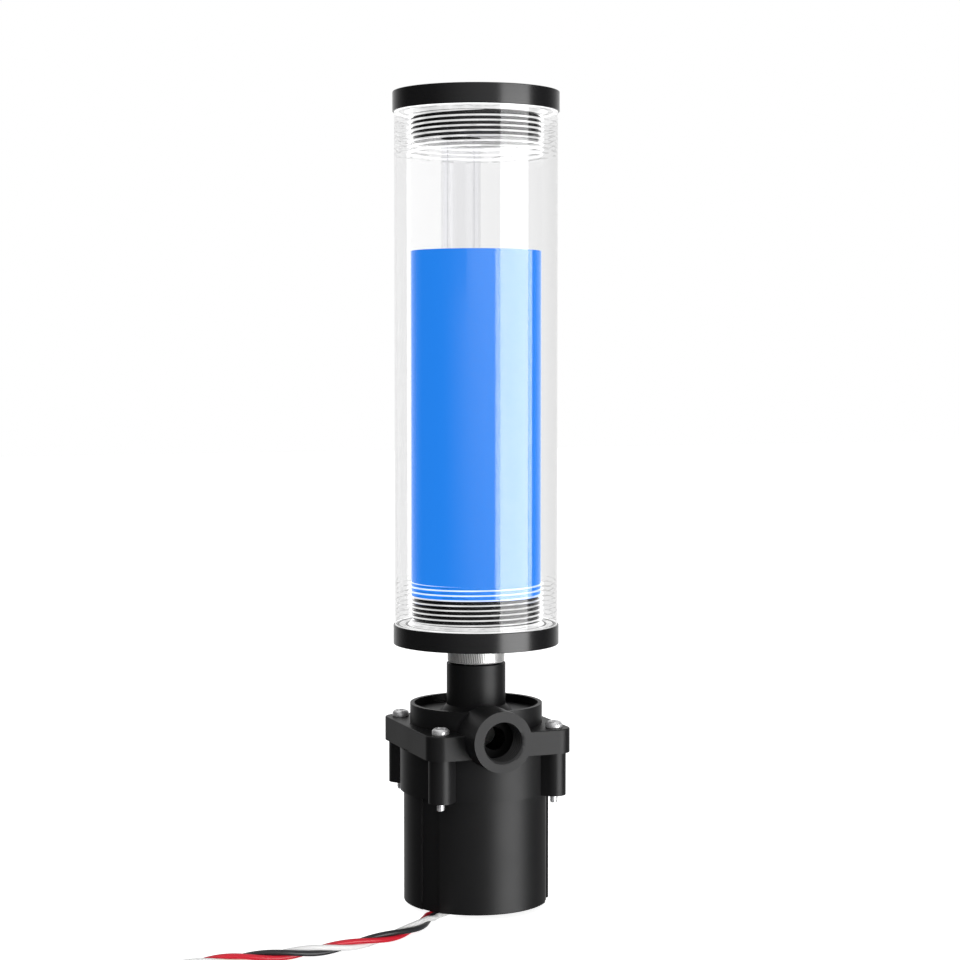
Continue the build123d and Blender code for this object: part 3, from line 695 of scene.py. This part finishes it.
def draw_outline(name, points):
    """Open chain of edges over the X axis, drawn by extruding one vertex. Leaves edit mode on."""
    deselect()
    bpy.ops.mesh.primitive_plane_add(size=mm)
    piece = bpy.context.object
    piece.name = name
    edit_all()
    bpy.ops.mesh.merge(type="CENTER")
    bpy.ops.transform.translate(value=(points[0][0] * mm, 0, points[0][1] * mm))
    for (radius, height), (next_radius, next_height) in zip(points, points[1:]):
        step = ((next_radius - radius) * mm, 0, (next_height - height) * mm)
        bpy.ops.mesh.extrude_region_move(TRANSFORM_OT_translate={"value": step})
    return piece


def close_shell(place=(0, 0)):
    """Merges the doubles of the mesh in edit mode, turns its faces outwards and moves it over."""
    bpy.ops.mesh.select_all(action="SELECT")
    bpy.ops.mesh.remove_doubles(threshold=0.000001)
    bpy.ops.mesh.normals_make_consistent(inside=False)
    if place != (0, 0):
        bpy.ops.transform.translate(value=(place[0] * mm, place[1] * mm, 0))
    bpy.ops.object.mode_set(mode="OBJECT")


def turned(name, points, steps=128, place=(0, 0), edge=0.0):
    """Piece turned from an outline of (radius, height). A closed outline makes a ring."""
    piece = draw_outline(name, points)
    bpy.ops.mesh.select_all(action="SELECT")
    bpy.ops.mesh.spin(steps=steps, angle=tau, center=(0, 0, 0), axis=(0, 0, 1))
    close_shell(place)
    if edge:
        soften(piece, edge * mm)
    return piece


def thread_rod(name, crest, root, pitch, low, high, fades=(1.0, 1.0), steps=128, place=(0, 0),
               flanks=(0.15, 0.42, 0.58, 0.85)):
    """Closed rod with a right-handed thread, whose crests rise out of the core over its fades.

    The flanks begin and end at these shares of the pitch.
    """
    start = low - 2 * pitch
    outline = []
    for turn in range(int((high - low) / pitch) + 4):
        foot = start + turn * pitch
        outline += [(radius, foot + share * pitch) for radius, share in zip((root, crest, crest, root), flanks)]
    piece = draw_outline(name, outline)
    bpy.ops.object.mode_set(mode="OBJECT")
    helix = piece.modifiers.new("helix", "SCREW")
    helix.axis = "Z"
    helix.angle = tau
    helix.screw_offset = pitch * mm
    helix.steps = helix.render_steps = steps
    helix.use_merge_vertices = True
    helix.merge_threshold = 0.000001
    bpy.ops.object.modifier_apply(modifier=helix.name)
    edit_all()
    bpy.ops.mesh.remove_doubles(threshold=0.000001)
    bpy.ops.mesh.bisect(plane_co=(0, 0, low * mm), plane_no=(0, 0, 1), threshold=1e-8,
                         use_fill=True, clear_inner=True)
    bpy.ops.mesh.select_all(action="SELECT")
    bpy.ops.mesh.bisect(plane_co=(0, 0, high * mm), plane_no=(0, 0, 1), threshold=1e-8,
                         use_fill=True, clear_outer=True)
    bpy.ops.object.mode_set(mode="OBJECT")
    for vertex in piece.data.vertices:
        radius = hypot(vertex.co.x, vertex.co.y)
        height = vertex.co.z / mm
        limit = crest
        for fade, off in zip(fades, (height - low, high - height)):
            if fade:
                limit = min(limit, root + (crest - root) * off / fade)
        if radius > limit * mm:
            vertex.co.x *= limit * mm / radius
            vertex.co.y *= limit * mm / radius
    bpy.ops.object.mode_set(mode="EDIT")
    close_shell(place)
    shell = bmesh.new()
    shell.from_mesh(piece.data)
    if any(len(edge.link_faces) != 2 for edge in shell.edges):
        raise SystemExit(f"the thread from {low} to {high} isn't closed")
    shell.free()
    return piece


cover = soften(copy_of("cover_moulding", "pump_cover"), moulded_edge)
outlet_low, outlet_high = outlet_thread
sleeve = turned("outlet_thread", [
    (0, outlet_low), (port_crest + 0.12, outlet_low), (port_crest + 0.12, outlet_high - 0.5),
    (port_crest + 0.55, outlet_high), (0, outlet_high)], steps=96)
cut(sleeve, thread_rod("tool", port_crest, port_root, port_pitch, outlet_low - 1, outlet_high + 1, (0, 0), 96))
cut(sleeve, turned("mouth", [
    (0, outlet_high - 0.5), (port_root - 0.2, outlet_high - 0.5), (port_root + 0.2, outlet_high + 0.1),
    (0, outlet_high + 0.1)], steps=96))
pick(sleeve)
edit_all()
bpy.ops.transform.rotate(value=radians(-90), orient_axis="X", center_override=(0, 0, 0))
bpy.ops.transform.translate(value=(outlet_place[0] * mm, 0, outlet_place[1] * mm))
bpy.ops.object.mode_set(mode="OBJECT")
if max(vertex.co.y for vertex in sleeve.data.vertices) > 0:
    raise SystemExit("the outlet's thread points the wrong way")
pick(cover, sleeve)
bpy.ops.object.join()
even_shading(cover)
# Painted shade: the outlet's bore and the floor of its port get a near-black, dull material for the shade deep inside
# the port.
painted_shade_bore = finish("painted_shade_bore", (0.003, 0.003, 0.003), 0.6, Specular_IOR_Level=0.1)
cut_plastic = finish("cut_plastic", (0.016, 0.016, 0.0165), 0.28)
dress(cover, pump_plastic, painted_shade_bore, cut_plastic)
for face in cover.data.polygons:
    across = hypot(face.center.x - outlet_place[0] * mm, face.center.z - outlet_place[1] * mm)
    if across < 6.7 * mm and -24.3 * mm < face.center.y < -12 * mm:
        face.material_index = 1
    elif across < 6.7 * mm and face.center.y < -24.3 * mm and abs(face.normal.y) < 0.98:
        face.material_index = 2
settle(cover, "root", "pump_plastic", "pump_cover")


# Cover screws. Four zinc-plated M2.5 pan-head screws with a cross recess, driven
# from above, whose ends stand out under the bosses.
screw_reach = 18.35
screw_tip = 33.9
screw_seat = 56.9
screw_head = 2.6
screw_head_height = 2.0
screw_turns = (20, 65, 40, 10)

zinc_plate = grained("zinc_plate", (0.93, 0.93, 0.94), 0.32, 6000.0, tint=0.1, Metallic=0.7)
screw = turned("cover_screw", [
    (0, screw_tip + 10.8), (1.2, screw_tip + 10.8), (1.25, screw_tip + 11.1), (1.25, screw_seat),
    (screw_head - 0.12, screw_seat), (screw_head, screw_seat + 0.15), (screw_head, screw_seat + 0.9),
    (screw_head - 0.12, screw_seat + 1.35), (screw_head - 0.42, screw_seat + 1.72),
    (screw_head - 0.95, screw_seat + 1.94), (screw_head - 1.5, screw_seat + screw_head_height),
    (0, screw_seat + screw_head_height)], steps=48)
for angle in (0, 90):
    deselect()
    bpy.ops.mesh.primitive_cylinder_add(vertices=4, radius=0.78 * mm, depth=3.4 * mm,
                                        location=(0, 0, (screw_seat + screw_head_height) * mm),
                                        rotation=(0, radians(90), radians(angle)))
    slot = bpy.context.object
    apply_transform()
    cut(screw, slot)
weld(screw, thread_rod("tool", 1.25, 0.96, 0.45, screw_tip, screw_tip + 11.1, (0.5, 0.3), 40))
even_shading(screw, 32)
dress(screw, zinc_plate)
for number, (way_x, way_y) in enumerate(((1, 1), (1, -1), (-1, 1), (-1, -1))):
    copy = screw.copy()
    copy.data = screw.data.copy()
    copy.name = f"cover_screw_{number + 1}"
    scene.collection.objects.link(copy)
    pick(copy)
    copy.rotation_euler = (0, 0, radians(screw_turns[number]))
    copy.location = (way_x * screw_reach * mm, way_y * screw_reach * mm, 0)
    apply_transform()
    settle(copy, "root", "plated_steel", "cover_screws")
bpy.data.objects.remove(screw)


# Knurled fitting. A nickel-plated brass ring with a G1/4 male thread and a seal on
# each side, that joins the pump's neck to the reservoir's lower cap.
knurl_count = 100
knurl_depth = 0.2
knurl_land = 0.4            # how far a land's sides reach towards the notches, in columns
knurl_slant = 3.2           # degrees, over the ring's height
knurl_foot = 75.8
knurl_top = 80.9
knurl_radius = 8.8
fitting_bore = 4.5
fitting_reach = 7.0
male_crest = 6.45
male_root = 5.75

nickel_plate = grained("nickel_plate", (0.93, 0.925, 0.915), 0.40, 6000.0, tint=0.08, Metallic=0.65)
fitting = turned("knurled_fitting", [
    (0, knurl_foot - fitting_reach), (male_root, knurl_foot - fitting_reach), (male_root, knurl_foot - 0.6),
    (6.55, knurl_foot - 0.6), (6.55, knurl_foot), (6.55, knurl_foot + 1.0), (8.15, knurl_foot + 1.0),
    (8.15, knurl_foot), (knurl_radius - 0.25, knurl_foot), (knurl_radius, knurl_foot + 0.3),
    (knurl_radius, knurl_foot + 0.5), (knurl_radius, knurl_foot + 1.9), (knurl_radius, knurl_top - 1.9),
    (knurl_radius, knurl_top - 0.5), (knurl_radius, knurl_top - 0.3), (knurl_radius - 0.25, knurl_top),
    (8.15, knurl_top), (8.15, knurl_top - 1.0), (6.55, knurl_top - 1.0), (6.55, knurl_top),
    (6.55, knurl_top + 0.6), (male_root, knurl_top + 0.6), (male_root, knurl_top + fitting_reach),
    (0, knurl_top + fitting_reach)], steps=knurl_count * 3)
for vertex in fitting.data.vertices:
    height = vertex.co.z / mm
    if hypot(vertex.co.x, vertex.co.y) > (knurl_radius - 0.01) * mm and knurl_foot + 0.4 < height < knurl_top - 0.4:
        column = round(atan2(vertex.co.y, vertex.co.x) / tau * knurl_count * 3)
        shift = (0, -knurl_land, knurl_land)[column % 3]
        angle = (column + shift) * tau / (knurl_count * 3)
        angle += radians(knurl_slant) * ((height - knurl_foot) / (knurl_top - knurl_foot) - 0.5)
        radius = (knurl_radius - (0 if column % 3 else knurl_depth)) * mm
        vertex.co.x, vertex.co.y = radius * cos(angle), radius * sin(angle)
for low, high in ((knurl_foot - fitting_reach, knurl_foot - 0.8), (knurl_top + 0.8, knurl_top + fitting_reach)):
    weld(fitting, thread_rod("tool", male_crest, male_root - 0.1, port_pitch, low, high, steps=96))
cut(fitting, turned("tool", [
    (0, knurl_foot - 9), (fitting_bore, knurl_foot - 9), (fitting_bore, knurl_top + 9), (0, knurl_top + 9)],
    steps=96))
even_shading(fitting, 28)
notch_shade = finish("notch_shade", (0.30, 0.30, 0.295), 0.5, Metallic=1.0)
dress(fitting, nickel_plate, notch_shade)
for face in fitting.data.polygons:
    inside = knurl_foot + 0.4 < face.center.z / mm < knurl_top - 0.4
    if inside and 8.3 < hypot(face.center.x, face.center.y) / mm < knurl_radius - 0.04:
        face.material_index = 1
settle(fitting, "root", "plated_brass", "joint_fitting")
dress_cad(seal_rubber, "fitting_seals")


# Lower cap. Turned from black acetal, with a threaded plug that screws into the
# tube's foot, a seal under the tube's edge, and a G1/4 port for the fitting.
tube_foot = 87.4
tube_top = 244.0
tube_bore = 20.0
tube_outer = 25.0
cap_radius = 25.5
cap_thick = 6.0
cap_edge = 0.4
plug_length_up = 9.0
plug_crest = 19.9
plug_root = 19.1
tube_pitch = 1.5
seal_groove = (22.0, 23.4, 1.3)
port_depth = 8.5


def turned_lines_group():
    """Fine marks that a lathe tool leaves: they run round the axis, on faces and sides alike."""
    group, given, result = new_group(
        "turned_lines", {"Scale": 3000.0, "Depth": 0.000004, "Roughness": 0.25, "Spread": 0.08,
                         "Offset": (0.0, 0.0, 0.0)}, {"Roughness": 1, "Normal": 3})
    centred = add_node(group, "VectorMath", {0: object_place(group), 1: given["Offset"]}, operation="SUBTRACT")
    split = add_node(group, "SeparateXYZ", {0: centred.outputs[0]}).outputs
    flat = add_node(group, "CombineXYZ", {"X": off_axis(group, split), "Y": split["Z"]})
    lines = noise(group, flat.outputs[0], given["Scale"], 3)
    bump = add_node(group, "Bump", {"Height": lines, "Distance": given["Depth"]})
    spread = product(group, maths(group, "SUBTRACT", lines, 0.5), given["Spread"])
    give(group, result, {"Roughness": maths(group, "ADD", spread, given["Roughness"]), "Normal": bump.outputs[0]})
    return group


turned_lines = turned_lines_group()


def acetal(name, roughness, offset=(0.0, 0.0, 0.0), **sockets):
    """Black acetal with lathe marks round an axis at this offset."""
    return add_group(finish(name, (0.0100, 0.0100, 0.0105), roughness, **sockets), turned_lines, Offset=offset)


def dress_turned(piece, top_face, *materials):
    """Turned finish, with another for the flat face on top, cut with a broad tool."""
    dress(piece, *materials)
    for face in piece.data.polygons:
        if face.normal.z > 0.99 and face.center.z > (top_face - 0.05) * mm:
            face.material_index = 1


def cap_blank(name, face, way):
    """Cap with its threaded plug, which points up or down from the seat against the tube."""
    inner, outer, deep = seal_groove
    outline = [(0, 9.0), (plug_root - 0.3, 9.0), (plug_root, 8.7), (plug_root, 0), (inner, 0), (inner, -deep),
               (outer, -deep), (outer, 0), (cap_radius, 0), (cap_radius, -cap_thick), (0, -cap_thick)]
    blank = turned(name, [(radius, face + way * height) for radius, height in outline], steps=160)
    soften(blank, cap_edge * mm, 3)
    low, high = sorted((face + way * 0.8, face + way * 8.3))
    weld(blank, thread_rod("tool", plug_crest, plug_root - 0.15, tube_pitch, low, high, steps=160))
    return blank


cap_acetal = acetal("cap_acetal", 0.22)
lower = cap_blank("lower_cap_turned", tube_foot, 1)
lower_face = tube_foot - cap_thick
cut(lower, turned("tool", [
    (0, lower_face - 1), (port_crest + 1.0, lower_face - 1), (port_crest + 0.5, lower_face),
    (port_crest, lower_face + 0.5), (port_crest, lower_face + port_depth), (5.0, lower_face + port_depth),
    (5.0, tube_foot + 10), (0, tube_foot + 10)], steps=96))
even_shading(lower)
dress(lower, cap_acetal)
settle(lower, "root", "cap_plastic", "lower_cap")
dress_cad(seal_rubber, "lower_cap_seal")


# Reservoir tube. Cast acrylic, 50 mm outside and 40 mm inside, polished on both
# faces, with a coarse thread cut into the bore at each end. The cut flanks and the
# end faces carry a painted glint, a faint glow that draws them as white lines, and
# painted dark lines on the outer face near both ends stand for the thread behind.
tube_edge = 0.25
tube_thread_crest = 20.8
tube_thread_length = 13.5
tube_lead = (0.8, 1.1)      # the bore's chamfer at each end, across and along
wall_tint = (0.90, 0.90, 0.905)
wall_density = 12.0
tube_middle = (tube_foot + tube_top) / 2


def clear_plastic(name, tint, absorb, density, coat, ior=1.0005):
    """Clear plastic that takes a little light over its depth, with a polished surface."""
    material = finish(name, (tint, tint, tint), 0.0, Transmission_Weight=1.0, IOR=ior, Coat_Weight=coat,
                      Coat_IOR=1.5, Coat_Roughness=0.02)
    tree = material.node_tree
    depth = add_node(tree, "VolumeAbsorption", {"Color": (*absorb, 1), "Density": density})
    give(tree, tree.nodes["Material Output"], {"Volume": depth.outputs[0]})
    return material


def grey(tree, value):
    """Colour of one even value."""
    return add_node(tree, "CombineXYZ", {0: value, 1: value, 2: value}).outputs[0]


def painted_glint_group():
    """Painted glint of a cut face: an uneven glow, as on a machined flank, in place of the light it would catch."""
    group, given, result = new_group("painted_cut_glint", {"Light": 0.8, "Scale": 160.0}, {"Emission Color": 4})
    patches = product(group, noise(group, object_place(group), given["Scale"], 3), 0.9)
    light = product(group, maths(group, "ADD", patches, 0.55), given["Light"])
    give(group, result, {0: grey(group, light)})
    return group


def painted_thread_lines_group():
    """Painted darkening of the tube's outer face in broken thin lines near both ends, for the thread behind it seen
    through the wall.
    """
    group, given, result = new_group(
        "painted_thread_image", {"Middle": 0.0, "Half Length": 0.07, "Thread Length": 0.0135, "Pitch": 0.0015, "Dark": 0.5},
        {"Base Color": 4})
    place = object_place(group)
    level = add_node(group, "SeparateXYZ", {0: place}).outputs["Z"]
    wobble = product(group, maths(group, "SUBTRACT", noise(group, place, 140), 0.5), 0.0022)
    phase = maths(group, "FRACT", maths(group, "DIVIDE", maths(group, "ADD", level, wobble), given["Pitch"]))
    line = maths(group, "LESS_THAN", phase, 0.24)
    away = maths(group, "ABSOLUTE", maths(group, "SUBTRACT", level, given["Middle"]))
    zone = maths(group, "GREATER_THAN", away,
                 maths(group, "SUBTRACT", given["Half Length"], given["Thread Length"]))
    broken = product(group, maths(group, "SUBTRACT", noise(group, place, 260), 0.38), 4.0)
    broken = maths(group, "MINIMUM", maths(group, "MAXIMUM", broken, 0.0), 1.0)
    loss = product(group, line, zone, broken, given["Dark"])
    give(group, result, {0: grey(group, maths(group, "SUBTRACT", 1.0, loss))})
    return group


tube_acrylic = clear_plastic("tube_acrylic", 1.0, wall_tint, wall_density, 1.0)
# Painted shade: dark lines on the outer face stand for the thread seen through the wall near both ends.
add_group(tube_acrylic, painted_thread_lines_group(), Middle=tube_middle * mm, Half_Length=(tube_top - tube_foot) / 2 * mm,
          Thread_Length=tube_thread_length * mm, Pitch=tube_pitch * mm, Dark=0.45)
bore_acrylic = clear_plastic("bore_acrylic", 1.0, wall_tint, wall_density, 0.0)
painted_glint_acrylic = clear_plastic("painted_glint_acrylic", 0.6, wall_tint, wall_density, 0.0)
# Painted glint: the cut flanks and end faces glow faintly, so that they show as white lines.
add_group(painted_glint_acrylic, painted_glint_group(), Light=0.78)
give(painted_glint_acrylic.node_tree, painted_glint_acrylic.node_tree.nodes["Principled BSDF"], {"Emission Strength": 1.0})

lead_across, lead_along = tube_lead
tube = turned("clear_tube", [
    (tube_outer, tube_foot), (tube_outer, tube_top), (tube_bore + lead_across, tube_top),
    (tube_bore, tube_top - lead_along), (tube_bore, tube_foot + lead_along), (tube_bore + lead_across, tube_foot),
    (tube_outer, tube_foot)], steps=160, edge=tube_edge)
for low, high, fades, flanks in (
        (tube_foot + 1.1, tube_foot + tube_thread_length, (0.3, 1.2), (0.15, 0.42, 0.58, 0.88)),
        (tube_top - tube_thread_length, tube_top - 1.1, (1.2, 0.3), (0.08, 0.50, 0.62, 0.85))):
    cut(tube, thread_rod("tool", tube_thread_crest, tube_bore - 0.25, tube_pitch, low, high, fades, 160,
                         flanks=flanks))
even_shading(tube, 25)
dress(tube, tube_acrylic, bore_acrylic, painted_glint_acrylic)
# The faces that slope towards the tube's ends, the cut flanks and end faces, take the painted glint.
for face in tube.data.polygons:
    end = 1 if face.center.z > tube_middle * mm else -1
    if face.normal.z * end > 0.3:
        face.material_index = 2
    elif hypot(face.center.x, face.center.y) < (tube_outer - 0.5) * mm:
        face.material_index = 1
settle(tube, "root", "clear_tube", "reservoir_tube")


# Coolant and drop tube. A dyed water and glycol mix stands in the tube, with a thin
# meniscus at the wall. Returning coolant runs down a clear inner tube into it.
coolant_foot = 96.4
coolant_top = 201.8
coolant_radius = 19.95
meniscus = 0.6
drop_place = (-7.9, -7.9)
drop_outer = 6.0
drop_bore = 4.0
drop_foot = 150.0

# The coolant's blue emission is a painted glow. It stands in for light that scatters through the dyed liquid, and
# evens out its shading.
coolant_blue_painted_glow = grained("coolant_blue_painted_glow", (0.005, 0.06, 0.22), 0.10, 60.0, depth=0.0, spread=0.02, tint=0.08,
                       Emission_Color=(0.019, 0.255, 0.96, 1), Emission_Strength=0.88, Specular_IOR_Level=1.0,
                       IOR=1.7)
coolant = turned("coolant_column", [
    (0, coolant_foot), (coolant_radius, coolant_foot), (coolant_radius, coolant_top),
    (coolant_radius - 0.1, coolant_top - 0.25 * meniscus), (coolant_radius - 0.3, coolant_top - 0.6 * meniscus),
    (coolant_radius - 0.7, coolant_top - 0.85 * meniscus), (coolant_radius - 1.5, coolant_top - meniscus),
    (0, coolant_top - meniscus)], steps=160)
cut(coolant, turned("tool", [
    (drop_outer + 0.05, drop_foot - 0.05), (drop_outer + 0.05, coolant_top + 2), (drop_bore - 0.05, coolant_top + 2),
    (drop_bore - 0.05, drop_foot - 0.05), (drop_outer + 0.05, drop_foot - 0.05)], steps=64, place=drop_place))
even_shading(coolant, 40)
dress(coolant, coolant_blue_painted_glow)
settle(coolant, "root", "coolant", "coolant")
dress_cad(clear_plastic("drop_acrylic", 0.99, (0.86, 0.86, 0.89), 110.0, 0.3, ior=1.01), "drop_tube")


# Top cap. The same turned blank as the lower cap, with two G1/4 ports from above:
# one for the return line, over the drop tube, and one to fill through.
cap_top = 250.0
fill_place = (7.9, 7.9)

top = cap_blank("top_cap_turned", tube_top, -1)
plug_end = tube_top - plug_length_up
cut(top, thread_rod("tool", port_crest, port_root, port_pitch, cap_top - port_depth, cap_top + 2, (0, 0), 96,
                    drop_place))
cut(top, turned("tool", [
    (0, plug_end - 1), (drop_outer, plug_end - 1), (drop_outer, plug_end + 5), (drop_bore, plug_end + 5),
    (drop_bore, cap_top - port_depth), (port_root - 0.1, cap_top - port_depth), (port_root - 0.1, cap_top - 1.0),
    (port_crest + 0.5, cap_top + 0.01), (port_crest + 0.5, cap_top + 1), (0, cap_top + 1)],
    steps=96, place=drop_place))
cut(top, turned("tool", [
    (0, plug_end - 1), (drop_bore, plug_end - 1), (drop_bore, cap_top - port_depth),
    (port_crest, cap_top - port_depth), (port_crest, cap_top - 0.4), (port_crest + 0.4, cap_top + 0.01),
    (port_crest + 0.4, cap_top + 1), (0, cap_top + 1)], steps=96, place=fill_place))
even_shading(top)
dress_turned(top, cap_top, cap_acetal, acetal("faced_acetal", 0.5, Specular_IOR_Level=0.12))
settle(top, "cap", "cap_plastic", "top_cap")
dress_cad(seal_rubber, "top_cap_seal")


# Fill plug. Turned from the same acetal, with a coin slot across its head and a
# seal under it.
fill_head = 9.3
fill_head_height = 1.6
fill_slot = (14.0, 1.3, 0.8)

fill = turned("fill_plug_turned", [
    (0, cap_top - 7.0), (male_root - 0.2, cap_top - 7.0), (male_root, cap_top - 6.8), (male_root, cap_top),
    (7.1, cap_top), (7.1, cap_top + 1.1), (8.3, cap_top + 1.1), (8.3, cap_top), (fill_head, cap_top),
    (fill_head, cap_top + fill_head_height), (0, cap_top + fill_head_height)], place=fill_place, steps=96)
soften(fill, 0.0003, 3)
weld(fill, thread_rod("tool", male_crest, male_root - 0.1, port_pitch, cap_top - 6.7, cap_top - 0.3, steps=96,
                      place=fill_place))
slot_length, slot_width, slot_depth = fill_slot
slot_place = (fill_place[0] * mm, fill_place[1] * mm, (cap_top + fill_head_height - slot_depth) * mm)
cut(fill, add_block("slot", (slot_length * mm, slot_width * mm, 2 * slot_depth * mm), slot_place, 35))
even_shading(fill)
fill_axis = (fill_place[0] * mm, fill_place[1] * mm, 0.0)
dress_turned(fill, cap_top + fill_head_height, acetal("fill_acetal", 0.22, fill_axis),
             acetal("fill_faced", 0.5, fill_axis, Specular_IOR_Level=0.12))
settle(fill, "plug", "cap_plastic", "fill_plug")
dress_cad(seal_rubber, "fill_plug_seal")
